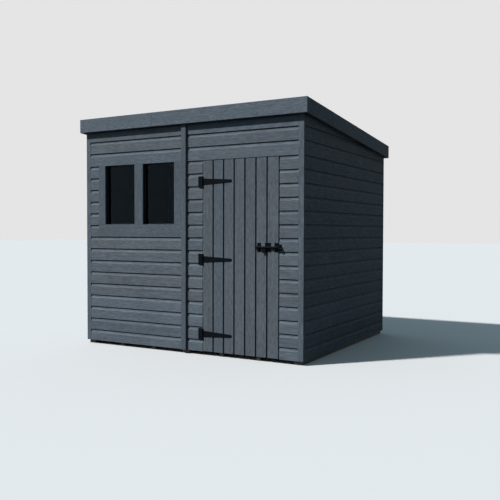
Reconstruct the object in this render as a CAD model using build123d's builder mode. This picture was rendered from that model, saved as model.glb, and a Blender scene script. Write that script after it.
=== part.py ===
"""Composite pent shed: boarded walls on a boarded floor, a roof that falls to
the back, a fixed window of two panes and a boarded door on tee hinges.

Millimetres. X runs along the front to the right, Y to the back and Z up.
The origin is on the ground, under the middle of the roof's outline.
"""

import math
import os

from build123d import *

# Overall sizes
width = 2400
depth = 2100
front_height = 2240
rear_height = 2071
roof_front_overhang = 43
roof_rear_overhang = 26
roof_side_overhang = 46

# Wall boards: each course has a flat face, a hollow cove and a shadow gap under the next lip,
# the first is cut short at its foot and the first above the door is a little taller
course_height = 116.2
first_course_cut = 12.5
head_course_rise = 9.5
board_thickness = 18
shadow_gap = 11
cove_height = 22
recess_depth = 8
boards_above_ground = 34

# Floor and bearers
bearer_count = 7
bearer_width = 42
double_bearer_width = 78
bearer_height = 50
bearer_end_inset = 20
bearer_side_inset = 20
floor_thickness = 12

# Wall framing
stud_width = 45
stud_depth = 34
plate_height = 45
side_stud_count = 4
rear_stud_count = 5

# Roof
fascia_height = 132
fascia_thickness = 18
fascia_joint_from_left = 850
fascia_joint_gap = 1
fascia_stand = 8
fascia_arris = 3
felt_thickness = 3
deck_thickness = 12
rafter_count = 6
rafter_depth = 70
rafter_width = 45

# Upright trims: flush with the boards at the corners, proud of them over the panel joints
corner_trim_width = 52
joint_trim_width = 52
joint_trim_thickness = 20
joint_trim_clearance = 2
trim_arris = 3
panel_gap = 2

# Window in the left panel of the front: the panes share what the boards beside them leave
window_course = 10
window_course_count = 5
window_stub_width = 159
left_casing_width = 84
mullion_width = 100
right_casing_width = 119
sill_rise = 9.5
pane_setback = 40
pane_thickness = 4
lining_thickness = 12
bead_width = 10
seal_width = 6
seal_depth = 6
seal_splay = 3

# Door, with boards on either side of it that fill the right panel of the front
hinge_side_width = 198
door_opening_width = 780
latch_side_width = 228
door_courses = 15
door_hinge_gap = 5
door_latch_gap = 9
door_foot_gap = 4
door_head_gap = 5
door_thickness = 12
door_board_count = 7
door_groove_width = 10
door_groove_depth = 9
door_stop = 15
ledge_height = 95
ledge_thickness = 20
ledge_end_inset = 30
brace_width = 70

# Tee hinges
hinge_heights = (195, 874, 1575)
hinge_plate_width = 41
hinge_plate_height = 102
hinge_metal = 3
knuckle_radius = 6
hinge_pin_radius = 3
hinge_pin_clearance = 0.3
knuckle_clearance = 0.6
knuckle_stand = 7
strap_length = 305
strap_root_height = 58
strap_tip_height = 26

# Pad bolt, with its places along the front measured back from the door's free edge
bolt_height = 991
bolt_nose_past_door = 4
bolt_length = 223
bolt_radius = 9
bolt_clearance = 0.3
bolt_plate_clearance = 0.5
bolt_metal = 3
bracket_height = 78
bracket_width = 34
bracket_setbacks = (204, 36)
keep_setoff = 6
keep_slack = 2.5
keep_width = 22
keep_height = 52
staple_plate_setback = 129
staple_plate_width = 56
staple_plate_rim = 14
lug_setback = 149
lug_width = 32
lug_drop = 50
lug_thickness = 5
lug_hole_radius = 5

# Places worked out from the sizes above
roof_depth = roof_front_overhang + depth + roof_rear_overhang
roof_front_y = -roof_depth / 2
roof_rear_y = roof_depth / 2
front_y = roof_front_y + roof_front_overhang
rear_y = front_y + depth
left_x = -width / 2
right_x = width / 2
roof_left_x = left_x - roof_side_overhang
roof_right_x = right_x + roof_side_overhang
roof_slope = (front_height - rear_height) / roof_depth

inner_left_x = left_x + board_thickness
inner_right_x = right_x - board_thickness
inner_front_y = front_y + board_thickness
inner_rear_y = rear_y - board_thickness
frame_left_x = inner_left_x + stud_depth
frame_right_x = inner_right_x - stud_depth
trimmed_left_x = left_x + corner_trim_width
trimmed_right_x = right_x - corner_trim_width

boards_foot = boards_above_ground
floor_top = bearer_height + floor_thickness
sole_top = floor_top + plate_height

deck_drop = fascia_stand + felt_thickness + deck_thickness
rafter_foot_drop = deck_drop + rafter_depth

door_opening_right_x = right_x - latch_side_width
door_opening_left_x = door_opening_right_x - door_opening_width
front_joint_x = door_opening_left_x - hinge_side_width
rear_joint_x = (left_x + right_x) / 2

casing_left_x = left_x + window_stub_width
first_pane_x = casing_left_x + left_casing_width
second_pane_end_x = front_joint_x - right_casing_width
pane_width = (second_pane_end_x - first_pane_x - mullion_width) / 2
first_pane_end_x = first_pane_x + pane_width
second_pane_x = second_pane_end_x - pane_width

door_left_x = door_opening_left_x + door_hinge_gap
door_right_x = door_opening_right_x - door_latch_gap
door_back_y = front_y + door_thickness
door_foot = boards_foot + door_foot_gap
hinge_x = (door_opening_left_x + door_left_x) / 2
hinge_y = front_y - knuckle_stand


def seam_height(course):
    """Height of the middle of the shadow gap at the top of a course."""
    rise = head_course_rise if course > door_courses else 0
    return boards_foot - first_course_cut + course * course_height + rise


def lip_height(course):
    """Height of the lower edge of the board above that gap."""
    return seam_height(course) + shadow_gap / 2


def gap_foot(course):
    """Height of the lower edge of that gap."""
    return seam_height(course) - shadow_gap / 2


window_foot = seam_height(window_course) + sill_rise
window_head = lip_height(window_course + window_course_count)
door_top = lip_height(door_courses) - door_head_gap
wall_reach = front_height
door_post_left_x = door_opening_left_x + door_stop
door_post_right_x = door_opening_right_x - door_stop
lintel_foot = door_top - door_stop


def roof_height(y, drop=0):
    """Height at y of a plane that lies a drop under the top of the fascias."""
    return front_height - roof_slope * (y - roof_front_y) - drop


def roof_plane(drop):
    """The same plane, for cutting walls and studs to the roof's fall."""
    return Plane(
        origin=(0, 0, roof_height(0, drop)),
        x_dir=(1, 0, 0),
        z_dir=(0, roof_slope, 1),
    )


def bar(x_range, y_range, z_range):
    """A straight bar or panel between two limits along each axis."""
    x_low, x_high = x_range
    y_low, y_high = y_range
    z_low, z_high = z_range
    with BuildSketch(Plane.XY.offset(z_low)) as section:
        with Locations(((x_low + x_high) / 2, (y_low + y_high) / 2)):
            Rectangle(x_high - x_low, y_high - y_low)
    extrude(section.sketch, amount=z_high - z_low)


def sloping_slab(x_range, y_range, top_drop, foot_drop):
    """A slab that follows the roof's fall between two depths under the fascias."""
    x_low, x_high = x_range
    y_low, y_high = y_range
    with BuildSketch(Plane.YZ.offset(x_low)) as section:
        with BuildLine():
            Polyline(
                (y_low, roof_height(y_low, top_drop)),
                (y_high, roof_height(y_high, top_drop)),
                (y_high, roof_height(y_high, foot_drop)),
                (y_low, roof_height(y_low, foot_drop)),
                close=True,
            )
        make_face()
    extrude(section.sketch, amount=x_high - x_low)


def board_face_line(low, high, last_course):
    """The wall boards' outline: its first coordinate is out of the wall, its second is height."""
    tolerance = 0.01
    start = (0, low)
    for course in range(1, last_course + 1):
        gap_low = gap_foot(course)
        gap_high = lip_height(course)
        if gap_high < low + tolerance or gap_low > high - tolerance:
            continue
        if gap_low < low + tolerance:
            start = (-recess_depth, low)
            inner = start
        else:
            Line(start, (0, gap_low - cove_height))
            TangentArc(
                (-recess_depth, gap_low),
                (0, gap_low - cove_height),
                tangent=(0, -1),
            )
            inner = (-recess_depth, gap_low)
        if gap_high > high - tolerance:
            Line(inner, (-recess_depth, high))
            start = (-recess_depth, high)
            break
        Line(inner, (-recess_depth, gap_high))
        Line((-recess_depth, gap_high), (0, gap_high))
        start = (0, gap_high)
    if start[1] < high - tolerance:
        Line(start, (0, high))
        start = (0, high)
    first_gaps = [c for c in range(1, last_course + 1) if abs(gap_foot(c) - low) < tolerance]
    foot_out = -recess_depth if first_gaps else 0
    Polyline(start, (-board_thickness, high), (-board_thickness, low), (foot_out, low))


def boarding(corner, outward, length, low, high):
    """Courses of wall boards, run along a wall from a corner of its face."""
    out = Vector(*outward)
    wall = Plane(origin=corner, x_dir=out, z_dir=out.cross(Vector(0, 0, 1)))
    last_course = math.floor((high - boards_foot + first_course_cut + shadow_gap) / course_height)
    with BuildSketch(wall) as section:
        with BuildLine():
            board_face_line(low, high, last_course)
        make_face()
    extrude(section.sketch, amount=length)


def front_boarding(x_low, x_high, low, high):
    boarding((x_high, front_y, 0), (0, -1, 0), x_high - x_low, low, high)


def write(part, name):
    part.label = name
    export_step(part, f"parts/{name}.step")


os.makedirs("parts", exist_ok=True)

# Base: bearers from front to back, doubled at the sides and the middle, and the floor on them
bearer_first_x = left_x + bearer_side_inset + double_bearer_width / 2
bearer_step = -2 * bearer_first_x / (bearer_count - 1)
double_bearers = (0, bearer_count // 2, bearer_count - 1)
with BuildPart() as bearers:
    for index in range(bearer_count):
        half = (double_bearer_width if index in double_bearers else bearer_width) / 2
        middle = bearer_first_x + index * bearer_step
        bar(
            (middle - half, middle + half),
            (front_y + bearer_end_inset, rear_y - bearer_end_inset),
            (0, bearer_height),
        )
write(bearers.part, "bearers")

with BuildPart() as floor_deck:
    bar((inner_left_x, inner_right_x), (inner_front_y, inner_rear_y), (bearer_height, floor_top))
write(floor_deck.part, "floor_deck")

# Sole plates on the floor, broken at the doorway
with BuildPart() as side_sole_plates:
    bar((inner_left_x, frame_left_x), (inner_front_y, inner_rear_y), (floor_top, sole_top))
    bar((frame_right_x, inner_right_x), (inner_front_y, inner_rear_y), (floor_top, sole_top))
write(side_sole_plates.part, "side_sole_plates")

front_frame_y = (inner_front_y, inner_front_y + stud_depth)
rear_frame_y = (inner_rear_y - stud_depth, inner_rear_y)
with BuildPart() as cross_sole_plates:
    bar((frame_left_x, door_post_left_x - stud_width), front_frame_y, (floor_top, sole_top))
    bar((door_post_right_x + stud_width, frame_right_x), front_frame_y, (floor_top, sole_top))
    bar((frame_left_x, frame_right_x), rear_frame_y, (floor_top, sole_top))
write(cross_sole_plates.part, "cross_sole_plates")

# Top plates under the rafters, over the front and rear studs
front_plate_top = roof_height(front_frame_y[1], rafter_foot_drop)
rear_plate_top = roof_height(rear_frame_y[1], rafter_foot_drop)
front_plate_foot = front_plate_top - plate_height
rear_plate_foot = rear_plate_top - plate_height
with BuildPart() as top_plates:
    bar((frame_left_x, frame_right_x), front_frame_y, (front_plate_foot, wall_reach))
    bar((frame_left_x, frame_right_x), rear_frame_y, (rear_plate_foot, wall_reach))
    split(bisect_by=roof_plane(rafter_foot_drop), keep=Keep.BOTTOM)
write(top_plates.part, "top_plates")


def evenly(low, high, count):
    """Left edges of studs spread evenly between two limits."""
    step = (high - low - stud_width) / (count - 1)
    return [low + index * step for index in range(count)]


# Studs
with BuildPart() as side_studs:
    for y in evenly(inner_front_y, inner_rear_y, side_stud_count):
        bar((inner_left_x, frame_left_x), (y, y + stud_width), (sole_top, wall_reach))
        bar((frame_right_x, inner_right_x), (y, y + stud_width), (sole_top, wall_reach))
    split(bisect_by=roof_plane(rafter_foot_drop), keep=Keep.BOTTOM)
write(side_studs.part, "side_studs")

with BuildPart() as rear_studs:
    for x in evenly(frame_left_x, frame_right_x, rear_stud_count):
        bar((x, x + stud_width), rear_frame_y, (sole_top, rear_plate_foot))
write(rear_studs.part, "rear_studs")

window_stud_left_x = first_pane_x - lining_thickness - stud_width
window_stud_right_x = second_pane_end_x + lining_thickness
with BuildPart() as front_studs:
    for x in (
        frame_left_x,
        window_stud_left_x,
        window_stud_right_x,
        front_joint_x - stud_width / 2,
        frame_right_x - stud_width,
    ):
        bar((x, x + stud_width), front_frame_y, (sole_top, front_plate_foot))
write(front_studs.part, "front_studs")

# Doorway posts and lintel
with BuildPart() as door_posts:
    bar((door_post_left_x - stud_width, door_post_left_x), front_frame_y, (floor_top, front_plate_foot))
    bar((door_post_right_x, door_post_right_x + stud_width), front_frame_y, (floor_top, front_plate_foot))
write(door_posts.part, "door_posts")

with BuildPart() as door_lintel:
    bar((door_post_left_x, door_post_right_x), front_frame_y, (lintel_foot, lintel_foot + plate_height))
write(door_lintel.part, "door_lintel")

# Window rails and middle post, and the linings of the two openings between them
rails_x = (window_stud_left_x + stud_width, window_stud_right_x)
lower_rail_top = window_foot - lining_thickness
upper_rail_foot = window_head + lining_thickness
with BuildPart() as window_rails:
    bar(rails_x, front_frame_y, (lower_rail_top - plate_height, lower_rail_top))
    bar(rails_x, front_frame_y, (upper_rail_foot, upper_rail_foot + plate_height))
write(window_rails.part, "window_rails")

with BuildPart() as window_post:
    bar(
        (first_pane_end_x + lining_thickness, second_pane_x - lining_thickness),
        front_frame_y,
        (lower_rail_top, upper_rail_foot),
    )
write(window_post.part, "window_post")

pane_height = window_head - window_foot
pane_middles = [
    ((first_pane_x + first_pane_end_x) / 2, (window_foot + window_head) / 2),
    ((second_pane_x + second_pane_end_x) / 2, (window_foot + window_head) / 2),
]


def window_rings(grow, shrink, y_range):
    """A ring round each pane's outline, from a little inside it to a little outside."""
    with BuildSketch(Plane.XZ.offset(-y_range[0])) as section:
        with Locations(*pane_middles):
            Rectangle(pane_width + 2 * grow, pane_height + 2 * grow)
            Rectangle(pane_width - 2 * shrink, pane_height - 2 * shrink, mode=Mode.SUBTRACT)
    extrude(section.sketch, amount=y_range[0] - y_range[1])


with BuildPart() as window_linings:
    window_rings(lining_thickness, 0, front_frame_y)
write(window_linings.part, "window_linings")

pane_y = (front_y + pane_setback, front_y + pane_setback + pane_thickness)
with BuildPart() as window_panes:
    bar((first_pane_x, first_pane_end_x), pane_y, (window_foot, window_head))
    bar((second_pane_x, second_pane_end_x), pane_y, (window_foot, window_head))
write(window_panes.part, "window_panes")

# Splayed seals outside and beads inside hold the panes in the linings
with BuildPart() as glazing_beads:
    window_rings(0, seal_width, (pane_y[0] - seal_depth, pane_y[0]))
    outer_faces = glazing_beads.faces().filter_by(Axis.Y).group_by(Axis.Y)[0]
    chamfer([edge for face in outer_faces for edge in face.inner_wires()[0].edges()], seal_splay)
    window_rings(0, bead_width, (pane_y[1], front_frame_y[1]))
write(glazing_beads.part, "glazing_beads")

# Front boards, left panel
left_panel = (trimmed_left_x, front_joint_x - panel_gap / 2)
right_panel_x = front_joint_x + panel_gap / 2
window_top_course = window_course + window_course_count
with BuildPart() as front_lower_boards:
    front_boarding(*left_panel, boards_foot, lip_height(window_course - 1))
write(front_lower_boards.part, "front_lower_boards")

with BuildPart() as front_stub_boards:
    front_boarding(trimmed_left_x, casing_left_x, lip_height(window_course - 1), lip_height(window_top_course))
write(front_stub_boards.part, "front_stub_boards")

board_y = (front_y, inner_front_y)
with BuildPart() as window_sill:
    bar((casing_left_x, left_panel[1]), board_y, (lip_height(window_course - 1), window_foot))
write(window_sill.part, "window_sill")

with BuildPart() as window_casings:
    bar((casing_left_x, first_pane_x), board_y, (window_foot, window_head))
    bar((first_pane_end_x, second_pane_x), board_y, (window_foot, window_head))
    bar((second_pane_end_x, left_panel[1]), board_y, (window_foot, window_head))
write(window_casings.part, "window_casings")

with BuildPart() as window_head_board:
    bar(left_panel, board_y, (window_head, gap_foot(window_top_course + 1)))
write(window_head_board.part, "window_head_board")

with BuildPart() as front_upper_boards:
    front_boarding(*left_panel, gap_foot(window_top_course + 1), wall_reach)
    split(bisect_by=roof_plane(deck_drop), keep=Keep.BOTTOM)
write(front_upper_boards.part, "front_upper_boards")

# Front boards, right panel
with BuildPart() as hinge_side_boards:
    front_boarding(right_panel_x, door_opening_left_x, boards_foot, lip_height(door_courses))
write(hinge_side_boards.part, "hinge_side_boards")

with BuildPart() as latch_side_boards:
    front_boarding(door_opening_right_x, trimmed_right_x, boards_foot, lip_height(door_courses))
write(latch_side_boards.part, "latch_side_boards")

with BuildPart() as over_door_boards:
    front_boarding(right_panel_x, trimmed_right_x, lip_height(door_courses), wall_reach)
    split(bisect_by=roof_plane(deck_drop), keep=Keep.BOTTOM)
write(over_door_boards.part, "over_door_boards")

# Side boards between the corner trims, and rear boards
side_length = inner_rear_y - inner_front_y
with BuildPart() as left_boards:
    boarding((left_x, inner_front_y, 0), (-1, 0, 0), side_length, boards_foot, wall_reach)
    split(bisect_by=roof_plane(deck_drop), keep=Keep.BOTTOM)
write(left_boards.part, "left_boards")

with BuildPart() as right_boards:
    boarding((right_x, inner_rear_y, 0), (1, 0, 0), side_length, boards_foot, wall_reach)
    split(bisect_by=roof_plane(deck_drop), keep=Keep.BOTTOM)
write(right_boards.part, "right_boards")

rear_reach = roof_height(inner_rear_y)
with BuildPart() as rear_boards:
    for start, end in (
        (trimmed_left_x, rear_joint_x - panel_gap / 2),
        (rear_joint_x + panel_gap / 2, trimmed_right_x),
    ):
        boarding((start, rear_y, 0), (0, 1, 0), end - start, boards_foot, rear_reach)
    split(bisect_by=roof_plane(deck_drop), keep=Keep.BOTTOM)
write(rear_boards.part, "rear_boards")

# Upright trims, the rear joint's ending under the rear fascia
corner_trims_x = ((left_x, trimmed_left_x), (trimmed_right_x, right_x))
half_joint_trim = joint_trim_width / 2
front_joint_trim_x = (front_joint_x - half_joint_trim, front_joint_x + half_joint_trim)
rear_joint_trim_x = (rear_joint_x - half_joint_trim, rear_joint_x + half_joint_trim)
rear_joint_trim_top = rear_height - fascia_height - joint_trim_clearance
for name, trims_x, trim_y, top, outer_group in (
    ("front_corner_trims", corner_trims_x, board_y, wall_reach, 0),
    ("rear_corner_trims", corner_trims_x, (inner_rear_y, rear_y), wall_reach, -1),
    ("front_joint_trim", [front_joint_trim_x], (front_y - joint_trim_thickness, front_y), wall_reach, 0),
    ("rear_joint_trim", [rear_joint_trim_x], (rear_y, rear_y + joint_trim_thickness), rear_joint_trim_top, -1),
):
    with BuildPart() as trims:
        for trim_x in trims_x:
            bar(trim_x, trim_y, (boards_foot, top))
        split(bisect_by=roof_plane(deck_drop), keep=Keep.BOTTOM)
        uprights = trims.edges().filter_by(Axis.Z)
        fillet(uprights.group_by(Axis.Y)[outer_group], trim_arris)
    write(trims.part, name)

# Roof: rafters, deck, felt and fascias
with BuildPart() as rafters:
    rafter_step = (inner_right_x - inner_left_x - rafter_width) / (rafter_count - 1)
    for index in range(rafter_count):
        x = inner_left_x + index * rafter_step
        sloping_slab((x, x + rafter_width), (inner_front_y, inner_rear_y), deck_drop, rafter_foot_drop)
write(rafters.part, "rafters")

deck_x = (roof_left_x + fascia_thickness, roof_right_x - fascia_thickness)
deck_y = (roof_front_y + fascia_thickness, roof_rear_y - fascia_thickness)
with BuildPart() as roof_deck:
    sloping_slab(deck_x, deck_y, fascia_stand + felt_thickness, deck_drop)
write(roof_deck.part, "roof_deck")

with BuildPart() as roof_felt:
    sloping_slab(deck_x, deck_y, fascia_stand, fascia_stand + felt_thickness)
write(roof_felt.part, "roof_felt")

fascia_joint_x = left_x + fascia_joint_from_left
with BuildPart() as front_fascias:
    for start, end in (
        (roof_left_x, fascia_joint_x - fascia_joint_gap / 2),
        (fascia_joint_x + fascia_joint_gap / 2, roof_right_x),
    ):
        bar((start, end), (roof_front_y, deck_y[0]), (front_height - fascia_height, front_height))
    seated = front_fascias.edges().filter_by_position(Axis.Y, deck_y[0], deck_y[0])
    butted = front_fascias.edges().filter_by_position(
        Axis.X, fascia_joint_x - fascia_joint_gap, fascia_joint_x + fascia_joint_gap
    )
    fillet(front_fascias.edges() - seated - butted, fascia_arris)
write(front_fascias.part, "front_fascias")

with BuildPart() as side_fascias:
    sloping_slab((roof_left_x, deck_x[0]), deck_y, 0, fascia_height)
    sloping_slab((deck_x[1], roof_right_x), deck_y, 0, fascia_height)
    slants = side_fascias.edges().filter_by(GeomType.LINE).group_by(Axis.X)
    fillet((slants[0] + slants[-1]).filter_by(Axis.Z, reverse=True), fascia_arris)
write(side_fascias.part, "side_fascias")

with BuildPart() as rear_fascia:
    bar((roof_left_x, roof_right_x), (deck_y[1], roof_rear_y), (rear_height - fascia_height, rear_height))
    seated = rear_fascia.edges().filter_by_position(Axis.Y, deck_y[1], deck_y[1])
    fillet(rear_fascia.edges() - seated, fascia_arris)
write(rear_fascia.part, "rear_fascia")

# Door: grooved boards, ledges and braces
door_width = door_right_x - door_left_x
door_pitch = door_width / door_board_count
with BuildPart() as door_boards:
    bar((door_left_x, door_right_x), (front_y, door_back_y), (door_foot, door_top))
    with BuildSketch(Plane.XY.offset(door_foot)):
        for index in range(1, door_board_count):
            with Locations((door_left_x + index * door_pitch, front_y + door_groove_depth / 2)):
                Rectangle(door_groove_width, door_groove_depth)
    extrude(amount=door_top - door_foot, mode=Mode.SUBTRACT)
write(door_boards.part, "door_boards")

ledge_x = (door_left_x + ledge_end_inset, door_right_x - ledge_end_inset)
ledge_y = (door_back_y, door_back_y + ledge_thickness)
with BuildPart() as door_ledges:
    for height in hinge_heights:
        bar(ledge_x, ledge_y, (height - ledge_height / 2, height + ledge_height / 2))
write(door_ledges.part, "door_ledges")

with BuildPart() as door_braces:
    for lower, upper in zip(hinge_heights, hinge_heights[1:]):
        foot = lower + ledge_height / 2
        head = upper - ledge_height / 2
        with BuildSketch(Plane.XZ.offset(-ledge_y[1])):
            with BuildLine():
                Polyline(
                    (ledge_x[0], foot),
                    (ledge_x[0] + brace_width, foot),
                    (ledge_x[1], head),
                    (ledge_x[1] - brace_width, head),
                    close=True,
                )
            make_face()
        extrude(amount=ledge_thickness)
write(door_braces.part, "door_braces")

# Tee hinges: a plate with the outer knuckles and the pin, and a strap with the middle knuckle
knuckle_height = hinge_plate_height / 3


def knuckle(low, high, bore=0):
    """One length of the hinge's barrel."""
    with BuildSketch(Plane.XY.offset(low)) as section:
        with Locations((hinge_x, hinge_y)):
            Circle(knuckle_radius)
            if bore:
                Circle(bore, mode=Mode.SUBTRACT)
    extrude(section.sketch, amount=high - low)


plate_y = (front_y - hinge_metal, front_y)
with BuildPart() as hinge_plates:
    for height in hinge_heights:
        low = height - hinge_plate_height / 2
        high = height + hinge_plate_height / 2
        plate_right_x = hinge_x - knuckle_radius - knuckle_clearance
        bar((plate_right_x - hinge_plate_width, plate_right_x), plate_y, (low, high))
        for tail_low in (low, high - knuckle_height):
            bar((plate_right_x, hinge_x), plate_y, (tail_low, tail_low + knuckle_height))
            knuckle(tail_low, tail_low + knuckle_height)
        with BuildSketch(Plane.XY.offset(low)):
            with Locations((hinge_x, hinge_y)):
                Circle(hinge_pin_radius)
        extrude(amount=high - low)
write(hinge_plates.part, "hinge_plates")

strap_left_x = hinge_x + knuckle_radius + 2 * knuckle_clearance
strap_right_x = door_left_x + strap_length
strap_bore = hinge_pin_radius + hinge_pin_clearance
with BuildPart() as hinge_straps:
    for height in hinge_heights:
        low = height - knuckle_height / 2 + knuckle_clearance
        high = height + knuckle_height / 2 - knuckle_clearance
        bar((hinge_x, strap_left_x), plate_y, (low, high))
        knuckle(low, high)
        tip_x = strap_right_x - strap_tip_height / 2
        with BuildSketch(Plane.XZ.offset(-front_y)):
            with BuildLine():
                Polyline(
                    (strap_left_x, height - strap_root_height / 2),
                    (tip_x, height - strap_tip_height / 2),
                    (tip_x, height + strap_tip_height / 2),
                    (strap_left_x, height + strap_root_height / 2),
                    close=True,
                )
            make_face()
            with Locations((tip_x, height)):
                Circle(strap_tip_height / 2)
        extrude(amount=hinge_metal)
        with BuildSketch(Plane.XY.offset(low)):
            with Locations((hinge_x, hinge_y)):
                Circle(strap_bore)
        extrude(amount=high - low, mode=Mode.SUBTRACT)
write(hinge_straps.part, "hinge_straps")

# Pad bolt: brackets and a staple plate on the door, a keep beside it, and the sliding bar with its lug
bolt_stand = bolt_metal + bolt_plate_clearance + bolt_radius
bolt_y = front_y - bolt_stand
bolt_nose_x = door_right_x + bolt_nose_past_door
bolt_left_x = bolt_nose_x - bolt_length


def bolt_bracket(x_low):
    """A strap bent round the front of the bar, with a foot above and below it."""
    inner = bolt_radius + bolt_clearance
    outer = inner + bolt_metal
    with BuildSketch(Plane.YZ.offset(x_low)) as section:
        with Locations((front_y - bolt_metal / 2, bolt_height)):
            Rectangle(bolt_metal, bracket_height)
        with Locations((front_y - bolt_stand / 2, bolt_height)):
            Rectangle(bolt_stand, 2 * outer)
        with Locations((bolt_y, bolt_height)):
            Circle(outer)
            Circle(inner, mode=Mode.SUBTRACT)
        with Locations((front_y - bolt_stand / 2, bolt_height)):
            Rectangle(bolt_stand, 2 * inner, mode=Mode.SUBTRACT)
    extrude(section.sketch, amount=bracket_width)


staple_plate_x = door_right_x - staple_plate_setback
with BuildPart() as bolt_brackets:
    for setback in bracket_setbacks:
        bolt_bracket(door_right_x - setback)
    with BuildSketch(Plane.XZ.offset(-front_y)):
        with Locations((staple_plate_x + staple_plate_width / 2, bolt_height)):
            Rectangle(staple_plate_width, bracket_height)
            Rectangle(
                staple_plate_width - 2 * staple_plate_rim,
                bracket_height - 2 * staple_plate_rim,
                mode=Mode.SUBTRACT,
            )
    extrude(amount=bolt_metal)
write(bolt_brackets.part, "bolt_brackets")

keep_inner = bolt_radius + keep_slack
keep_outer = keep_inner + bolt_metal
keep_reach = bolt_stand + keep_outer
with BuildPart() as bolt_keep:
    with BuildSketch(Plane.YZ.offset(bolt_nose_x + keep_setoff)):
        with Locations((front_y - bolt_metal / 2, bolt_height)):
            Rectangle(bolt_metal, keep_height)
        with Locations((front_y - keep_reach / 2, bolt_height)):
            Rectangle(keep_reach, 2 * keep_outer)
        with Locations((front_y - (keep_reach - bolt_metal) / 2, bolt_height)):
            Rectangle(keep_reach - bolt_metal, 2 * keep_inner, mode=Mode.SUBTRACT)
    extrude(amount=keep_width)
write(bolt_keep.part, "bolt_keep")

lug_middle_x = door_right_x - lug_setback + lug_width / 2
with BuildPart() as bolt_bar:
    with BuildSketch(Plane.YZ.offset(bolt_left_x)):
        with Locations((bolt_y, bolt_height)):
            Circle(bolt_radius)
    extrude(amount=bolt_length)
    with BuildSketch(Plane.XZ.offset(-bolt_y - lug_thickness / 2)):
        with Locations((lug_middle_x, bolt_height - lug_drop / 2)):
            Rectangle(lug_width, lug_drop)
        with Locations((lug_middle_x, bolt_height - lug_drop + lug_width / 2)):
            Circle(lug_hole_radius, mode=Mode.SUBTRACT)
    extrude(amount=lug_thickness)
write(bolt_bar.part, "bolt_bar")
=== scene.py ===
"""Looks of the composite pent shed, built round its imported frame.

Metres, +Z up, the front with the door and window towards -Y, as in the frame.
"""

import math
import random

import bmesh
import bpy
from mathutils import Matrix, Vector


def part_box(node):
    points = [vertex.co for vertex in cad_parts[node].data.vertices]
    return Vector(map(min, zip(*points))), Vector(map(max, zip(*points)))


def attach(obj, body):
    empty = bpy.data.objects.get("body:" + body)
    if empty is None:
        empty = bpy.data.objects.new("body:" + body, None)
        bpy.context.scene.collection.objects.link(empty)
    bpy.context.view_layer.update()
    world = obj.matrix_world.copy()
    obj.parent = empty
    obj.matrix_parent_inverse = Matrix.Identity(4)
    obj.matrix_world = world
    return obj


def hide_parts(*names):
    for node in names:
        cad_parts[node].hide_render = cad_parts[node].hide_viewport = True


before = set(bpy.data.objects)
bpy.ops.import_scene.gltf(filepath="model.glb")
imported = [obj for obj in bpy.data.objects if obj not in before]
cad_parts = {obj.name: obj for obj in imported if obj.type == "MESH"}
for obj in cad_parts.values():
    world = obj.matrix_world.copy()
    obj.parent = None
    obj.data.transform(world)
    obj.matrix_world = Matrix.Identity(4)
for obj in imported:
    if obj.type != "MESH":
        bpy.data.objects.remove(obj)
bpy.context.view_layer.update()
millimetre = 0.001
full_turn = 2 * math.pi

# Limits for work on meshes: what counts as one corner, as on a cut, as flat and as an arris
weld_distance = 1e-5
cut_distance = 1e-7
flat_angle = math.radians(1)
arris_angle = math.radians(35)


def low(node):
    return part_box(node)[0]


def high(node):
    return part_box(node)[1]


def welded_mesh(node):
    """A copy of a CAD node's mesh, with the corners of its faces joined."""
    shape = bmesh.new()
    shape.from_mesh(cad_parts[node].data)
    bmesh.ops.remove_doubles(shape, verts=shape.verts, dist=weld_distance)
    return shape


def solids_of(node, axis):
    """Boxes of a node's separate solids, in order along an axis."""
    shape = welded_mesh(node)
    left = set(shape.verts)
    boxes = []
    while left:
        reached = [left.pop()]
        for vert in reached:
            for edge in vert.link_edges:
                other = edge.other_vert(vert)
                if other in left:
                    left.remove(other)
                    reached.append(other)
        corners = [vert.co for vert in reached]
        lowest = Vector([min(corner[index] for corner in corners) for index in range(3)])
        highest = Vector([max(corner[index] for corner in corners) for index in range(3)])
        boxes.append((lowest, highest))
    shape.free()
    return sorted(boxes, key=lambda corners: corners[0]["XYZ".index(axis)])


# Places read from the frame
front_y = low("front_lower_boards").y
rear_y = high("rear_boards").y
left_x = low("left_boards").x
right_x = high("right_boards").x
boards_foot = low("left_boards").z
board_thickness = high("left_boards").x - left_x
roof_slope = (high("front_fascias").z - high("rear_fascia").z) / (
    high("rear_fascia").y - low("front_fascias").y
)

# Heights of the courses, from boards that end at a known one. The first course is cut short at
# its foot, and the first above the door is a little taller.
courses_under_sill = 9
door_courses = 15
shadow_gap = 11 * millimetre
door_head = high("hinge_side_boards").z
course_height = (door_head - high("front_lower_boards").z) / (door_courses - courses_under_sill)
uncut_door_seam = boards_foot + door_courses * course_height
first_course_cut = uncut_door_seam + shadow_gap / 2 - door_head
uncut_head_seam = uncut_door_seam + course_height - first_course_cut
head_course_rise = low("front_upper_boards").z + shadow_gap / 2 - uncut_head_seam

# Wall boards: the solids' hollow cove and recess, and a lip over the tongue of the board below
cove_height = 22 * millimetre
cove_steps = 7
recess_depth = 8 * millimetre
lip_thickness = 7.4 * millimetre
lip_lap = 8.5 * millimetre
tongue_lap = 7.5 * millimetre
board_arris = 1.1 * millimetre
cove_arris = board_arris * 0.7
board_shift = 0.35 * millimetre
rear_panel_gap = 2 * millimetre

# Door boards: seven across as in the solids, with their grooves planed a little wider
door_board_count = 7
door_groove_width = 15 * millimetre
door_groove_depth = 9 * millimetre
door_board_joint = 0.2 * millimetre
door_board_arris = 2.4 * millimetre
door_end_shift = 0.4 * millimetre

# Arrises of the pieces that follow a CAD solid
surround_arris = 1.2 * millimetre
trim_arris = 2.2 * millimetre
bead_arris = 0.6 * millimetre
timber_arris = 1.5 * millimetre
metal_arris = 0.5 * millimetre

random.seed(7)


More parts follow.
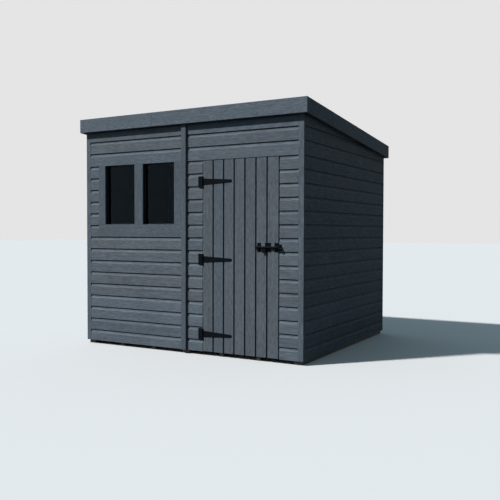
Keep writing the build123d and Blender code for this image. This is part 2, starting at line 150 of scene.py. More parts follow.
def shift(reach):
    """A small seeded displacement, for what is never quite in line."""
    return random.uniform(-reach, reach)


# Meshes

def piece_from(shape, name, body, material, nodes=(), smooth_angle=32):
    """Turns a shape into a finished piece that rides on a body."""
    bmesh.ops.recalc_face_normals(shape, faces=shape.faces)
    mesh = bpy.data.meshes.new(name)
    shape.to_mesh(mesh)
    shape.free()
    mesh.shade_smooth()
    mesh.set_sharp_from_angle(angle=math.radians(smooth_angle))
    mesh.materials.append(material)
    piece = bpy.data.objects.new(name, mesh)
    bpy.context.scene.collection.objects.link(piece)
    weighted = piece.modifiers.new("flat_faces_stay_flat", "WEIGHTED_NORMAL")
    weighted.keep_sharp = True
    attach(piece, body)
    if nodes:
        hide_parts(*nodes)


# Ways to set a prism in space: its outline's two numbers, and its run along one axis

def run_along_x(across, up, run):
    return (run, across, up)


def run_along_y(across, up, run):
    return (across, run, up)


def run_along_z(across, into, run):
    return (across, into, run)


def add_prism(shape, outline, start, end, place):
    """Adds a closed prism: outline points and a run from start to end, set in space by place."""
    near, far = (
        [shape.verts.new(place(across, up, run)) for across, up in outline] for run in (start, end)
    )
    shape.faces.new(near[::-1])
    shape.faces.new(far)
    for index in range(len(outline)):
        follow = (index + 1) % len(outline)
        shape.faces.new((near[index], near[follow], far[follow], far[index]))


def eased_corner(before, corner, after, radius, steps=2):
    """Points of a small round in place of an outline's corner."""
    before, corner, after = Vector(before), Vector(corner), Vector(after)
    into = (before - corner).normalized() * radius
    out = (after - corner).normalized() * radius
    points = []
    for step in range(steps + 1):
        share = step / steps
        points.append(tuple(corner + into * (1 - share) ** 2 + out * share ** 2))
    return points


def cut(shape, point, normal):
    """Cuts a shape by a plane, drops what lies beyond it and closes the cut."""
    parts = shape.verts[:] + shape.edges[:] + shape.faces[:]
    result = bmesh.ops.bisect_plane(
        shape, geom=parts, dist=cut_distance, plane_co=point, plane_no=normal, clear_outer=True
    )
    open_edges = [part for part in result["geom_cut"] if isinstance(part, bmesh.types.BMEdge)]
    if open_edges:
        bmesh.ops.holes_fill(shape, edges=open_edges, sides=0)


def add_shape(target, part):
    """Joins a part into a larger shape."""
    mesh = bpy.data.meshes.new("part")
    part.to_mesh(mesh)
    part.free()
    target.from_mesh(mesh)
    bpy.data.meshes.remove(mesh)


def slab_foot(box, slope, y):
    """Height of a slab's underside at y, where the slab falls to the back by a slope."""
    box_low, box_high = box
    return box_low.z + slope * (box_high.y - y)


# Wall boards

def seam_height(course):
    """Height of the middle of the shadow gap at the top of a course."""
    rise = head_course_rise if course > door_courses else 0
    return boards_foot - first_course_cut + course * course_height + rise


def board_outline(course):
    """Outline of one course's board: its first number is out of the wall, its second is height."""
    foot = boards_foot if course == 1 else seam_height(course - 1) + shadow_gap / 2
    gap_foot = seam_height(course) - shadow_gap / 2
    cove_foot = gap_foot - cove_height
    back = -board_thickness
    radius = (recess_depth ** 2 + cove_height ** 2) / (2 * recess_depth)
    centre_out = radius - recess_depth
    sweep = math.asin(cove_height / radius)
    points = [(-lip_thickness, foot)]
    points += eased_corner((-lip_thickness, foot), (0, foot), (0, cove_foot), board_arris)
    points += eased_corner((0, foot), (0, cove_foot), (-recess_depth, gap_foot), cove_arris)
    for step in range(1, cove_steps + 1):
        angle = sweep * (1 - step / cove_steps)
        points.append((centre_out - radius * math.cos(angle), gap_foot - radius * math.sin(angle)))
    tongue_top = gap_foot + shadow_gap + tongue_lap
    points += [(-recess_depth, tongue_top), (back, tongue_top)]
    if course == 1:
        points.append((back, foot))
    else:
        points += [(back, foot + lip_lap), (-lip_thickness, foot + lip_lap)]
    return points


# The plane of the roof deck's underside, where the wall boards end: a point on it and its normal
deck_cut = ((0, 0, slab_foot(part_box("roof_deck"), roof_slope, 0)), (0, roof_slope, 1))


def add_boards(shape, corner, outward, length, foot, head):
    """Adds a wall's courses, run along it from a corner of its face, between two heights."""
    out = Vector(outward)
    along = Vector((0, 0, 1)).cross(out)
    corner = Vector(corner)
    last_course = math.ceil((head - boards_foot + first_course_cut) / course_height)
    for course in range(1, last_course + 1):
        depth_shift = shift(board_shift)
        height_shift = shift(board_shift)
        part = bmesh.new()

        def place(across, up, run):
            spot = corner + along * run + out * (across + min(depth_shift, 0))
            return (spot.x, spot.y, up + height_shift)

        add_prism(part, board_outline(course), 0, length, place)
        cut(part, (0, 0, head), (0, 0, 1))
        cut(part, (0, 0, foot), (0, 0, -1))
        cut(part, *deck_cut)
        if part.faces:
            add_shape(shape, part)
        else:
            part.free()


def boards_piece(node, name, corner, outward, length, material):
    """Separate boards in place of one node of wall boards."""
    shape = bmesh.new()
    add_boards(shape, corner, outward, length, low(node).z, high(node).z)
    piece_from(shape, name, "shed", material, [node])


def front_boards(node, name, material):
    """The same for a node of the front, from its left end to its right."""
    corner = (low(node).x, front_y, 0)
    length = high(node).x - low(node).x
    boards_piece(node, name, corner, (0, -1, 0), length, material)


def rear_wall():
    """The rear wall's two panels of boards, in one piece of many boards."""
    box_low, box_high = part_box("rear_boards")
    middle = (box_low.x + box_high.x) / 2
    shape = bmesh.new()
    for start, end in (
        (box_low.x, middle - rear_panel_gap / 2),
        (middle + rear_panel_gap / 2, box_high.x),
    ):
        add_boards(shape, (end, rear_y, 0), (0, 1, 0), end - start, box_low.z, box_high.z)
    piece_from(shape, "rear_wall_boards", "shed", boards_x, ["rear_boards"])


# Pieces that follow a CAD solid, with their edges eased

def eased_copy(node, name, material, radius, body="shed"):
    """A copy of a CAD solid with its arrises rounded."""
    shape = welded_mesh(node)
    bmesh.ops.dissolve_limit(
        shape, angle_limit=flat_angle, verts=shape.verts, edges=shape.edges
    )
    arrises = [
        edge
        for edge in shape.edges
        if len(edge.link_faces) == 2 and edge.calc_face_angle() > arris_angle
    ]
    bmesh.ops.bevel(
        shape,
        geom=arrises,
        offset=radius,
        offset_type="OFFSET",
        segments=2,
        profile=0.5,
        affect="EDGES",
        clamp_overlap=True,
    )
    piece_from(shape, name, body, material, [node])


# Materials

def srgb(red, green, blue):
    """A colour given in display values, 0 to 255, as the shader's linear one."""
    values = []
    for value in (red, green, blue):
        value /= 255
        values.append(value / 12.92 if value <= 0.04045 else ((value + 0.055) / 1.055) ** 2.4)
    return (*values, 1)


def grey(level):
    return (level, level, level, 1)


class Nodes:
    """A tree of shader nodes, each added and wired in one call."""

    def __init__(self, tree):
        self.tree = tree

    def add(self, kind, settings=None, **inputs):
        """Adds a node. An input's name has an underscore where its socket has a space."""
        node = self.tree.nodes.new(kind)
        for key, value in (settings or {}).items():
            setattr(node, key, value)
        for key, value in inputs.items():
            self.feed(node, key.replace("_", " "), value)
        return node

    def feed(self, node, socket, value):
        """Links a socket to another node's output, or sets a constant on it."""
        if isinstance(value, bpy.types.NodeSocket):
            self.tree.links.new(value, node.inputs[socket])
        else:
            node.inputs[socket].default_value = value

    def math(self, operation, *values):
        node = self.add("ShaderNodeMath", {"operation": operation})
        for index, value in enumerate(values):
            self.feed(node, index, value)
        return node.outputs[0]


class Graph(Nodes):
    """A material's nodes, with what several materials have in common."""

    def __init__(self, name):
        self.material = bpy.data.materials.new(name)
        self.material.use_nodes = True
        super().__init__(self.material.node_tree)
        self.shader = self.tree.nodes["Principled BSDF"]

    def ramp(self, value, *stops):
        node = self.add("ShaderNodeValToRGB", Fac=value)
        elements = node.color_ramp.elements
        while len(elements) < len(stops):
            elements.new(0.5)
        for element, (stop, colour) in zip(elements, stops):
            element.position = stop
            element.color = colour
        return node.outputs["Color"]

    def mix(self, share, first, second, blend="MIX"):
        node = self.add("ShaderNodeMix", {"data_type": "RGBA", "blend_type": blend})
        for index, value in ((0, share), (6, first), (7, second)):
            self.feed(node, index, value)
        return node.outputs[2]

    def tint(self, colour, tone):
        return self.mix(1.0, colour, tone, "MULTIPLY")

    def coordinates(self):
        return self.add("ShaderNodeTexCoord").outputs["Object"]

    def island(self):
        """A random number for each separate board of a piece."""
        return self.add("ShaderNodeNewGeometry").outputs["Random Per Island"]

    def place(self, island):
        """Coordinates, shifted for each separate board so that no two have the same grain."""
        spread = self.add("ShaderNodeCombineXYZ", X=island, Y=island, Z=island)
        offset = self.add("ShaderNodeVectorMath", {"operation": "MULTIPLY_ADD"})
        for index, value in enumerate((spread.outputs[0], grain_shift, self.coordinates())):
            self.feed(offset, index, value)
        return offset.outputs[0]

    def noise(self, place, scale, detail=2.0, roughness=0.5, distortion=0.0):
        """Noise with its own scale along each axis."""
        mapping = self.add("ShaderNodeMapping", Vector=place, Scale=scale)
        node = self.add(
            "ShaderNodeTexNoise",
            Vector=mapping.outputs[0],
            Scale=1.0,
            Detail=detail,
            Roughness=roughness,
            Distortion=distortion,
        )
        return node.outputs["Fac"]

    def painted_gap_shade(self, reach, darkest):
        """Painted shade: a tone that falls from one on open faces to its darkest inside gaps and grooves."""
        settings = {"samples": 6, "only_local": True}
        opening = self.add("ShaderNodeAmbientOcclusion", settings, Distance=reach)
        return self.ramp(opening.outputs["AO"], (0.6, grey(darkest)), (0.9, grey(1)))

    def bump(self, height, distance, strength):
        node = self.add("ShaderNodeBump", Strength=strength, Distance=distance, Height=height)
        return node.outputs["Normal"]


def along_scale(axis, along, across):
    """A noise scale, in turns a metre, that is drawn out along one axis."""
    return tuple(along if index == "XYZ".index(axis) else across for index in range(3))


# How far a board's grain is moved along each axis, in metres, by its random number
grain_shift = (37, 53, 71)

composite_dark = srgb(76, 84, 91)
composite_middle = srgb(84, 92, 100)
composite_light = srgb(93, 101, 110)
composite_pore = srgb(54, 60, 67)

# How boards differ: a place in their random order, a step in tone and a step in warmth
board_casts = ((0.0, -1.0, -0.2), (0.3, -0.2, 0.9), (0.55, 0.3, 0.1), (0.8, 0.6, 0.9), (1.0, 1.0, -0.2))

# The composite's painted shade in gaps and grooves, how far its dashes and clouds differ in tone, the part
# that the fine streaks have in its grain beside the bands, and its pores
gap_shade_reach = 12 * millimetre
gap_shade_tone = 0.06
dash_contrast = 0.28
cloud_contrast = 0.05
streak_share = 0.62
pore_strength = 0.32
pore_depth = 0.9


def composite(name, axis, tone, dash_rate=22, board_spread=0.01):
    """Wood-plastic composite with a brushed face: streaks, dashes, pores, a tone for each board and painted
    shade in its gaps.
    """
    graph = Graph(name)
    island = graph.island()
    place = graph.place(island)
    streaks = graph.noise(place, along_scale(axis, 5, 420), detail=3, roughness=0.65)
    bands = graph.noise(place, along_scale(axis, 1.4, 55))
    dashes = graph.noise(place, along_scale(axis, dash_rate, 110), detail=3, roughness=0.7)
    pores = graph.noise(place, along_scale(axis, 26, 620), detail=1, roughness=0.4)
    clouds = graph.noise(place, (3, 3, 3))
    band_part = graph.math("MULTIPLY", bands, 1 - streak_share)
    grain = graph.math("MULTIPLY_ADD", streaks, streak_share, band_part)
    colour = graph.ramp(grain, (0.3, composite_dark), (0.5, composite_middle), (0.7, composite_light))
    pore_share = graph.ramp(pores, (0.6, grey(0)), (0.7, grey(1)))
    pore_share = graph.math("MULTIPLY", pore_share, pore_strength)
    colour = graph.mix(pore_share, colour, composite_pore)
    for share, contrast, centre in ((dashes, dash_contrast, tone), (clouds, cloud_contrast, 1)):
        dark, light = grey(centre * (1 - contrast)), grey(centre * (1 + contrast))
        colour = graph.tint(colour, graph.ramp(share, (0.3, dark), (0.7, light)))
    board_tones = []
    for stop, step, warmth in board_casts:
        level = 1 + board_spread * step
        warm = board_spread * warmth
        board_tones.append((stop, (level + warm, level, level - warm, 1)))
    colour = graph.tint(colour, graph.ramp(island, *board_tones))
    # Painted shade, darkest inside the boards' gaps and grooves
    colour = graph.tint(colour, graph.painted_gap_shade(gap_shade_reach, gap_shade_tone))
    relief = graph.math("SUBTRACT", grain, graph.math("MULTIPLY", pore_share, pore_depth))
    graph.feed(graph.shader, "Base Color", colour)
    graph.feed(graph.shader, "Roughness", graph.math("MULTIPLY_ADD", grain, 0.2, 0.55))
    graph.feed(graph.shader, "Normal", graph.bump(relief, 0.7 * millimetre, 0.85))
    graph.shader.inputs["Specular IOR Level"].default_value = 0.02
    return graph.material


# Softwood's growth rings, and the part that they have in its grain beside the fibre
ring_turns = 34
ring_share = 0.55


def softwood(name, axis, pale, dark, knot, slant=0.0):
    """Softwood: growth rings along the piece, fine fibre and a few knots, turned by a slant."""
    graph = Graph(name)
    island = graph.island()
    place = graph.place(island)
    if slant:
        settings = {"rotation_type": "Y_AXIS"}
        place = graph.add("ShaderNodeVectorRotate", settings, Vector=place, Angle=slant).outputs[0]
    bent = graph.noise(place, along_scale(axis, 0.8, 7))
    waves = graph.noise(place, along_scale(axis, 0.9, 30), detail=1, distortion=0.6)
    rings = graph.math("SINE", graph.math("MULTIPLY", graph.math("ADD", waves, bent), ring_turns))
    rings = graph.math("MULTIPLY_ADD", rings, 0.5, 0.5)
    fibre = graph.noise(place, along_scale(axis, 9, 520), detail=3, roughness=0.7)
    fibre_part = graph.math("MULTIPLY", fibre, 1 - ring_share)
    tone = graph.math("MULTIPLY_ADD", rings, ring_share, fibre_part)
    colour = graph.ramp(tone, (0.2, pale), (0.85, dark))
    knots = graph.noise(place, along_scale(axis, 2.6, 9), detail=0)
    colour = graph.mix(graph.ramp(knots, (0.73, grey(0)), (0.79, grey(1))), colour, knot)
    colour = graph.tint(colour, graph.ramp(island, (0, grey(0.86)), (1, grey(1.05))))
    graph.feed(graph.shader, "Base Color", colour)
    graph.feed(graph.shader, "Roughness", graph.math("MULTIPLY_ADD", tone, 0.2, 0.5))
    graph.feed(graph.shader, "Normal", graph.bump(tone, 0.4 * millimetre, 0.6))
    graph.shader.inputs["Specular IOR Level"].default_value = 0.35
    return graph.material


def black_steel():
    """Satin black powder coat: an orange-peel skin and patches rubbed a little lighter."""
    graph = Graph("black_powder_coat")
    coordinates = graph.coordinates()
    peel = graph.noise(coordinates, (900, 900, 900), detail=1)
    wear = graph.noise(coordinates, (60, 60, 60), detail=3)
    colour = graph.ramp(wear, (0.35, srgb(10, 13, 17)), (0.75, srgb(17, 22, 28)))
    graph.feed(graph.shader, "Base Color", colour)
    graph.feed(graph.shader, "Roughness", graph.math("MULTIPLY_ADD", wear, 0.25, 0.42))
    graph.feed(graph.shader, "Normal", graph.bump(peel, 0.1 * millimetre, 0.5))
    graph.shader.inputs["Specular IOR Level"].default_value = 0.03
    return graph.material


def rubber_seal():
    """Matt black glazing seal, a little dusty."""
    graph = Graph("black_seal")
    dust = graph.noise(graph.coordinates(), (40, 40, 40), detail=3)
    colour = graph.ramp(dust, (0.35, srgb(34, 39, 44)), (0.75, srgb(46, 52, 58)))
    graph.feed(graph.shader, "Base Color", colour)
    graph.shader.inputs["Roughness"].default_value = 0.5
    graph.shader.inputs["Specular IOR Level"].default_value = 0.05
    return graph.material


def zinc_steel():
    """Bright zinc plate, on the roof's nails."""
    graph = Graph("zinc_plate")
    wear = graph.noise(graph.coordinates(), (300, 300, 300))
    colour = graph.ramp(wear, (0.3, srgb(120, 122, 126)), (0.7, srgb(160, 162, 165)))
    graph.feed(graph.shader, "Base Color", colour)
    graph.feed(graph.shader, "Roughness", graph.math("MULTIPLY_ADD", wear, 0.3, 0.25))
    graph.shader.inputs["Metallic"].default_value = 1.0
    return graph.material


def roofing_felt():
    """Mineral felt: coarse slate grit pressed in bitumen."""
    graph = Graph("mineral_felt")
    place = graph.place(graph.island())
    grit = graph.add("ShaderNodeTexVoronoi", Vector=place, Scale=650.0)
    patches = graph.noise(place, (3, 3, 3), detail=4)
    colour = graph.ramp(grit.outputs["Color"], (0.2, srgb(38, 42, 44)), (0.9, srgb(78, 84, 86)))
    colour = graph.tint(colour, graph.ramp(patches, (0.3, grey(0.82)), (0.7, grey(1.08))))
    graph.feed(graph.shader, "Base Color", colour)
    graph.shader.inputs["Roughness"].default_value = 0.85
    graph.feed(graph.shader, "Normal", graph.bump(grit.outputs["Distance"], 0.8 * millimetre, 0.8))
    return graph.material


def dark_glass():
    """Tinted clear glazing with faint streaks of dust."""
    graph = Graph("dark_glazing")
    dust = graph.noise(graph.coordinates(), (6, 6, 2), detail=4, roughness=0.6)
    graph.shader.inputs["Base Color"].default_value = srgb(104, 126, 138)
    graph.feed(graph.shader, "Roughness", graph.ramp(dust, (0.45, grey(0.01)), (0.8, grey(0.05))))
    graph.shader.inputs["Transmission Weight"].default_value = 1.0
    graph.shader.inputs["IOR"].default_value = 1.22
    graph.shader.inputs["Specular Tint"].default_value = (0.55, 0.78, 1.0, 1)
    return graph.material


boards_x = composite("composite_boards_x", "X", 1.1, dash_rate=14, board_spread=0.06)
boards_y = composite("composite_boards_y", "Y", 1.1, dash_rate=14, board_spread=0.06)
sill_x = composite("composite_sill_x", "X", 0.97, board_spread=0)
head_x = composite("composite_window_head_x", "X", 1.13, board_spread=0)
trim_z = composite("composite_trims_z", "Z", 1.03)
casing_z = composite("composite_casings_z", "Z", 0.95)
# The window linings' composite is darkened to near black: painted shade of the reveals
lining_painted_shade_z = composite("composite_linings_painted_shade_z", "Z", 0.16)
fascia_x = composite("composite_fascias_x", "X", 1.16)
fascia_y = composite("composite_fascias_y", "Y", 1.16)
door_z = composite("composite_door_z", "Z", 1.0, board_spread=0.06)
pine = (srgb(196, 160, 114), srgb(164, 122, 78), srgb(92, 56, 32))
pine_x = softwood("planed_softwood_x", "X", *pine)
pine_y = softwood("planed_softwood_y", "Y", *pine)
pine_z = softwood("planed_softwood_z", "Z", *pine)
brace_low, brace_high = solids_of("door_braces", "Z")[0]
brace_slant = math.atan2(brace_high.z - brace_low.z, brace_high.x - brace_low.x)
pine_slant = softwood("planed_softwood_slant", "X", *pine, brace_slant)
treated_y = softwood("treated_softwood_y", "Y", srgb(74, 70, 62), srgb(52, 50, 45), srgb(34, 30, 27))
coated_steel = black_steel()
seal_rubber = rubber_seal()
zinc = zinc_steel()
felt_material = roofing_felt()
glass_material = dark_glass()

# Walls
side_near, side_far = low("left_boards").y, high("left_boards").y
side_run = side_far - side_near
boards_piece("left_boards", "left_wall_boards", (left_x, side_far, 0), (-1, 0, 0), side_run, boards_y)
boards_piece("right_boards", "right_wall_boards", (right_x, side_near, 0), (1, 0, 0), side_run, boards_y)
front_boards("front_lower_boards", "boards_under_window", boards_x)
front_boards("front_stub_boards", "boards_beside_window", boards_x)
front_boards("front_upper_boards", "boards_over_window", boards_x)
front_boards("hinge_side_boards", "boards_by_hinges", boards_x)
front_boards("latch_side_boards", "boards_by_latch", boards_x)
front_boards("over_door_boards", "boards_over_door", boards_x)
front_boards("window_head_board", "board_at_window_head", head_x)
rear_wall()

# Window surround and trims
eased_copy("window_sill", "window_sill_board", sill_x, surround_arris)
eased_copy("window_casings", "window_casing_boards", casing_z, surround_arris)
eased_copy("front_corner_trims", "front_corner_posts", trim_z, trim_arris)
eased_copy("rear_corner_trims", "rear_corner_posts", trim_z, trim_arris)
eased_copy("front_joint_trim", "front_joint_cover", casing_z, trim_arris)
eased_copy("rear_joint_trim", "rear_joint_cover", casing_z, trim_arris)
eased_copy("front_fascias", "front_fascia_boards", fascia_x, surround_arris)
eased_copy("rear_fascia", "rear_fascia_board", fascia_x, surround_arris)
eased_copy("side_fascias", "side_fascia_boards", fascia_y, surround_arris)
eased_copy("window_linings", "window_reveal_linings", lining_painted_shade_z, bead_arris)
eased_copy("glazing_beads", "window_glazing_beads", seal_rubber, bead_arris)
eased_copy("door_posts", "doorway_posts", trim_z, surround_arris)
eased_copy("door_lintel", "doorway_lintel", boards_x, surround_arris)

# Timber of the walls, the base, the roof and the door's back
for node, name, material in (
    ("side_sole_plates", "side_soles", pine_y),
    ("cross_sole_plates", "cross_soles", pine_x),
    ("top_plates", "wall_plates", pine_x),
    ("side_studs", "side_wall_studs", pine_z),
    ("rear_studs", "rear_wall_studs", pine_z),
    ("front_studs", "front_wall_studs", pine_z),
    ("window_rails", "window_cross_rails", pine_x),
    ("window_post", "window_middle_post", pine_z),
    ("rafters", "roof_rafters", pine_y),
):
    eased_copy(node, name, material, timber_arris)
eased_copy("bearers", "floor_bearers", treated_y, timber_arris)
eased_copy("door_ledges", "door_cross_ledges", pine_x, timber_arris, "door")
eased_copy("door_braces", "door_slant_braces", pine_slant, timber_arris, "door")


# Door leaf

def door_board_outline(start, end, first, final):
    """Section of one upright door board, seen from above: across the door, then into it."""
    face = low("door_boards").y
    back = high("door_boards").y
    shoulder = face + door_groove_depth
    left = start if first else start + door_groove_width / 2
    right = end if final else end - door_groove_width / 2
    left_back = start if first else start + door_board_joint
    right_back = end if final else end - door_board_joint
    points = eased_corner((left, shoulder), (left, face), (right, face), door_board_arris, 3)
    points += eased_corner((left, face), (right, face), (right, shoulder), door_board_arris, 3)
    if not final:
        points += [(right, shoulder), (right_back, shoulder)]
    points += [(right_back, back), (left_back, back)]
    if not first:
        points += [(left_back, shoulder), (left, shoulder)]
    return points


def door_leaf():
    """The door's upright boards, whose tops are never quite in line."""
    leaf_low, leaf_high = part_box("door_boards")
    pitch = (leaf_high.x - leaf_low.x) / door_board_count
    shape = bmesh.new()
    for index in range(door_board_count):
        start = leaf_low.x + index * pitch
        outline = door_board_outline(start, start + pitch, index == 0, index == door_board_count - 1)
        top = leaf_high.z - abs(shift(door_end_shift))
        add_prism(shape, outline, leaf_low.z, top, run_along_z)
    piece_from(shape, "door_leaf", "door", door_z, ["door_boards"])


door_leaf()

# Hinges and bolt
eased_copy("hinge_plates", "hinge_plates_and_pins", coated_steel, metal_arris)
eased_copy("hinge_straps", "hinge_tee_straps", coated_steel, metal_arris, "door")
eased_copy("bolt_brackets", "bolt_guides", coated_steel, metal_arris, "door")
eased_copy("bolt_keep", "bolt_catch", coated_steel, metal_arris)
eased_copy("bolt_bar", "bolt_rod", coated_steel, metal_arris, "bolt")

# Heads of screws and nails, ring by ring: each a share of the head's radius wide and high, and
# crossed where the driver fits
screw_rings = (
    (0.96, -0.06, False),
    (1.0, 0.12, False),
    (0.86, 0.34, False),
    (0.62, 0.46, False),
    (0.50, 0.49, True),
    (0.44, 0.20, True),
)
nail_rings = ((0.96, -0.06, False), (1.0, 0.10, False), (0.82, 0.24, False), (0.40, 0.30, False))
head_sides = 16
cross_waist = 0.38


def add_head(shape, centre, outward, radius, rings):
    """Adds one closed head of a screw or nail, seated on a face that looks outward."""
    out = Vector(outward)
    side = out.orthogonal().normalized()
    up = out.cross(side)
    twist = random.uniform(0, full_turn)
    loops = []
    for share, rise, crossed in rings:
        loop = []
        for index in range(head_sides):
            angle = twist + full_turn * index / head_sides
            reach = radius * share
            if crossed and index % (head_sides // 4):
                reach *= cross_waist
            spot = Vector(centre) + (side * math.cos(angle) + up * math.sin(angle)) * reach
            loop.append(shape.verts.new(spot + out * rise * radius))
        loops.append(loop)
    shape.faces.new(loops[0][::-1])
    shape.faces.new(loops[-1])
    for inner, outer in zip(loops[1:], loops):
        for index in range(head_sides):
            follow = (index + 1) % head_sides
            shape.faces.new((outer[index], outer[follow], inner[follow], inner[index]))


def heads_piece(name, spots, outward, radius, rings, body, material):
    """Heads of one kind in one piece, on faces that all look the same way."""
    shape = bmesh.new()
    for centre in spots:
        add_head(shape, centre, outward, radius, rings)
    piece_from(shape, name, body, material, smooth_angle=40)


def spread(start, end, count):
    """Evenly spaced values from a start to an end."""
    return [start + (end - start) * index / (count - 1) for index in range(count)]


# Screws of the hinges and the bolt: sizes of their heads, and how far in from the metal's edges
metal_thickness = 3 * millimetre
screw_radius = 4.6 * millimetre
keep_screw_radius = 3.4 * millimetre
plate_end_inset = 13 * millimetre
plate_outer_row = 12 * millimetre
plate_inner_row = 28 * millimetre
plate_inner_share = 0.55
strap_root_row = 34 * millimetre
strap_root_rise = 16 * millimetre
strap_first_step = 62 * millimetre
strap_tip_inset = 15 * millimetre
strap_screw_count = 3
bracket_screw_inset = 9 * millimetre
keep_screw_inset = 5.5 * millimetre


def hardware_screws():
    """Black screws through the hinges, the bolt's brackets and its keep."""
    on_plates = []
    on_keep = []
    on_door = []
    for box_low, box_high in solids_of("hinge_plates", "Z"):
        height = (box_low.z + box_high.z) / 2
        reach = (box_high.z - box_low.z) / 2 - plate_end_inset
        short_reach = reach * plate_inner_share
        for up in (-reach, 0, reach):
            on_plates.append((box_low.x + plate_outer_row, height + up))
        for up in (-short_reach, short_reach):
            on_plates.append((box_low.x + plate_inner_row, height + up))
    for box_low, box_high in solids_of("hinge_straps", "Z"):
        height = (box_low.z + box_high.z) / 2
        root = box_low.x + strap_root_row
        for up in (-strap_root_rise, strap_root_rise):
            on_door.append((root, height + up))
        for x in spread(root + strap_first_step, box_high.x - strap_tip_inset, strap_screw_count):
            on_door.append((x, height))
    for box_low, box_high in solids_of("bolt_brackets", "X"):
        inset = min(bracket_screw_inset, (box_high.x - box_low.x) / 2)
        for z in (box_low.z + bracket_screw_inset, box_high.z - bracket_screw_inset):
            on_door += [(box_low.x + inset, z), (box_high.x - inset, z)]
    for box_low, box_high in solids_of("bolt_keep", "X"):
        middle = (box_low.x + box_high.x) / 2
        on_keep += [(middle, box_low.z + keep_screw_inset), (middle, box_high.z - keep_screw_inset)]
    for name, places, radius, body in (
        ("hinge_plate_screws", on_plates, screw_radius, "shed"),
        ("keep_screws", on_keep, keep_screw_radius, "shed"),
        ("strap_and_bolt_screws", on_door, screw_radius, "door"),
    ):
        spots = [(x, front_y - metal_thickness, z) for x, z in places]
        heads_piece(name, spots, (0, -1, 0), radius, screw_rings, body, coated_steel)


hardware_screws()

# The panel sunk in the bolt's widest plate: its edges lie a millimetre inside the rim's metal
staple_panel_inset = 13 * millimetre
staple_panel_thickness = 2 * millimetre


def staple_panel():
    """The sunk middle of the bolt's widest plate, behind the lug."""
    plates = solids_of("bolt_brackets", "X")
    box_low, box_high = max(plates, key=lambda box: box[1].x - box[0].x)
    left, right = box_low.x + staple_panel_inset, box_high.x - staple_panel_inset
    foot, head = box_low.z + staple_panel_inset, box_high.z - staple_panel_inset
    corners = [(left, foot), (right, foot), (right, head), (left, head)]
    shape = bmesh.new()
    add_prism(shape, corners, front_y - staple_panel_thickness, front_y, run_along_y)
    piece_from(shape, "staple_plate_panel", "door", coated_steel)


staple_panel()

# Panes
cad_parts["window_panes"].data.materials.clear()
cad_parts["window_panes"].data.materials.append(glass_material)

# Floor and roof boards, one beside the other in place of a whole deck
floor_board_width = 118 * millimetre
roof_board_width = 108 * millimetre
deck_joint = 1.2 * millimetre
deck_arris = 1.6 * millimetre


def deck_boards(node, name, board_width, slope):
    """Boards that run along X, side by side from front to back, with eased edges."""
    box_low, box_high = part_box(node)
    depth = box_high.y - box_low.y
    count = round(depth / board_width)
    pitch = depth / count
    thickness = (box_high.z - box_low.z) - slope * depth
    shape = bmesh.new()
    for index in range(count):
        near = box_low.y + index * pitch + (deck_joint / 2 if index else 0)
        far = box_low.y + (index + 1) * pitch - (deck_joint / 2 if index < count - 1 else 0)
        near_foot = slab_foot((box_low, box_high), slope, near)
        far_foot = slab_foot((box_low, box_high), slope, far)
        corners = [
            (near, near_foot),
            (far, far_foot),
            (far, far_foot + thickness),
            (near, near_foot + thickness),
        ]
        outline = []
        for place in range(4):
            outline += eased_corner(corners[place - 1], corners[place], corners[(place + 1) % 4], deck_arris)
        add_prism(shape, outline, box_low.x, box_high.x, run_along_x)
    piece_from(shape, name, "shed", pine_x, [node])


deck_boards("floor_deck", "floor_boards", floor_board_width, 0)
deck_boards("roof_deck", "roof_boards", roof_board_width, roof_slope)

# Felt, with rows of nails along the strips' lower edges and along the roof's two sides
strip_count = 3
strip_lap = 75 * millimetre
strip_thickness = 2.2 * millimetre
strip_ramp = 30 * millimetre
nail_radius = 5.5 * millimetre
row_inset = 18 * millimetre
row_end_inset = 20 * millimetre
row_nail_count = 24
row_nail_stray = 6 * millimetre
row_line_stray = 2 * millimetre
side_inset = 14 * millimetre
side_front_inset = 40 * millimetre
side_rear_inset = 90 * millimetre
side_nail_count = 20


def felt_strips():
    """Strips of felt along the roof, each lapped over the one below it, with clout nails."""
    felt_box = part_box("roof_felt")
    felt_low, felt_high = felt_box
    depth = felt_high.y - felt_low.y
    shape = bmesh.new()
    nails = []

    def foot(y):
        return slab_foot(felt_box, roof_slope, y)

    for index in range(strip_count):
        near = felt_low.y + depth * index / strip_count
        far = felt_low.y + depth * (index + 1) / strip_count
        rows, lifts = [near, far], [0, 0]
        if index < strip_count - 1:
            far += strip_lap
            rows = [near, far - strip_lap - strip_ramp, far - strip_lap, far]
            lifts = [0, 0, strip_thickness, strip_thickness]
        outline = [(y, foot(y) + lift) for y, lift in zip(rows, lifts)]
        outline += [(y, foot(y) + lift + strip_thickness) for y, lift in zip(rows[::-1], lifts[::-1])]
        add_prism(shape, outline, felt_low.x, felt_high.x, run_along_x)
        row_y = far - row_inset
        top = foot(row_y) + lifts[-1] + strip_thickness
        for x in spread(felt_low.x + row_end_inset, felt_high.x - row_end_inset, row_nail_count):
            nails.append((x + shift(row_nail_stray), row_y + shift(row_line_stray), top))
    for x in (felt_low.x + side_inset, felt_high.x - side_inset):
        for y in spread(felt_low.y + side_front_inset, felt_high.y - side_rear_inset, side_nail_count):
            nails.append((x, y, foot(y) + strip_thickness))
    piece_from(shape, "felt_strips", "shed", felt_material, ["roof_felt"])
    heads_piece("felt_nails", nails, (0, 0, 1), nail_radius, nail_rings, "shed", zinc)


felt_strips()

# Studio: a pale floor, one soft lamp from the upper left of the front, and even fill with more of it
# from the left of the back and of the front: for each, the way towards it and its strength
backdrop_tone = 0.78
fill_colour = (0.66, 0.93, 1.08, 1)
fill_strength = 0.11
side_fills = (((-0.45, 0.85, 0.25), 0.5), ((-0.5, -0.8, 0.33), 0.3))
sun_strength = 5.05
sun_softness = 3
towards_light = Vector((-0.9, -1.0, 1.48))
floor_reach = 60
floor_seen_tone = 0.54
floor_bounce_tone = 0.05


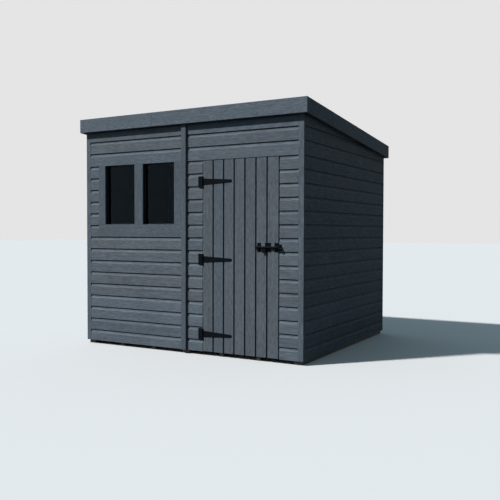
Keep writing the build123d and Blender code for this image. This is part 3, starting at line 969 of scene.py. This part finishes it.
def studio_floor():
    shape = bmesh.new()
    corners = ((-1, -1), (1, -1), (1, 1), (-1, 1))
    shape.faces.new([shape.verts.new((x * floor_reach, y * floor_reach, 0)) for x, y in corners])
    mesh = bpy.data.meshes.new("studio_floor")
    shape.to_mesh(mesh)
    shape.free()
    graph = Graph("studio_floor")
    bounce = graph.add("ShaderNodeLightPath").outputs["Is Diffuse Ray"]
    colour = graph.mix(bounce, grey(floor_seen_tone), grey(floor_bounce_tone))
    graph.feed(graph.shader, "Base Color", colour)
    graph.shader.inputs["Roughness"].default_value = 0.9
    graph.shader.inputs["Specular IOR Level"].default_value = 0.0
    mesh.materials.append(graph.material)
    floor = bpy.data.objects.new("studio_floor", mesh)
    bpy.context.scene.collection.objects.link(floor)


def studio_world():
    """Fill light for the object, and a pale backdrop for the camera and what glass and gloss show."""
    world = bpy.data.worlds.new("studio")
    bpy.context.scene.world = world
    world.use_nodes = True
    graph = Nodes(world.node_tree)
    fill = graph.tree.nodes["Background"]
    fill.inputs["Color"].default_value = fill_colour
    direction = graph.add("ShaderNodeTexCoord").outputs["Generated"]
    strength = fill_strength
    for towards, more in side_fills:
        facing = graph.add("ShaderNodeVectorMath", {"operation": "DOT_PRODUCT"})
        graph.feed(facing, 0, direction)
        graph.feed(facing, 1, towards)
        share = graph.math("MAXIMUM", facing.outputs["Value"], 0)
        strength = graph.math("MULTIPLY_ADD", share, more, strength)
    graph.feed(fill, "Strength", strength)
    backdrop = graph.add("ShaderNodeBackground", Color=grey(backdrop_tone))
    rays = graph.add("ShaderNodeLightPath")
    seen = rays.outputs["Is Camera Ray"]
    for kind in ("Is Glossy Ray", "Is Transmission Ray"):
        seen = graph.math("MAXIMUM", seen, rays.outputs[kind])
    chosen = graph.add("ShaderNodeMixShader")
    for index, value in enumerate((seen, fill.outputs[0], backdrop.outputs[0])):
        graph.feed(chosen, index, value)
    graph.feed(graph.tree.nodes["World Output"], "Surface", chosen.outputs[0])


def studio_lamp():
    lamp = bpy.data.lights.new("soft_key", "SUN")
    lamp.energy = sun_strength
    lamp.angle = math.radians(sun_softness)
    key = bpy.data.objects.new("soft_key", lamp)
    key.rotation_euler = towards_light.to_track_quat("Z", "Y").to_euler()
    bpy.context.scene.collection.objects.link(key)


studio_floor()
studio_world()
studio_lamp()

# Camera, solved from the photograph's 500 by 500 frame
photo_width = 500
photo_focal_length = 667.515
camera_place = (3.5302, -6.1121, 1.1284)
camera_heading = 0.511232
camera_tilt = -0.0279373
camera_roll = 0.0022381


def photo_camera():
    data = bpy.data.cameras.new("photo_camera")
    data.sensor_fit = "HORIZONTAL"
    data.sensor_width = 36
    data.lens = data.sensor_width * photo_focal_length / photo_width
    camera = bpy.data.objects.new("photo_camera", data)
    camera.matrix_world = (
        Matrix.Translation(camera_place)
        @ Matrix.Rotation(camera_heading, 4, "Z")
        @ Matrix.Rotation(math.pi / 2 + camera_tilt, 4, "X")
        @ Matrix.Rotation(camera_roll, 4, "Z")
    )
    bpy.context.scene.collection.objects.link(camera)
    bpy.context.scene.camera = camera


photo_camera()
bpy.context.scene.view_settings.view_transform = "Standard"
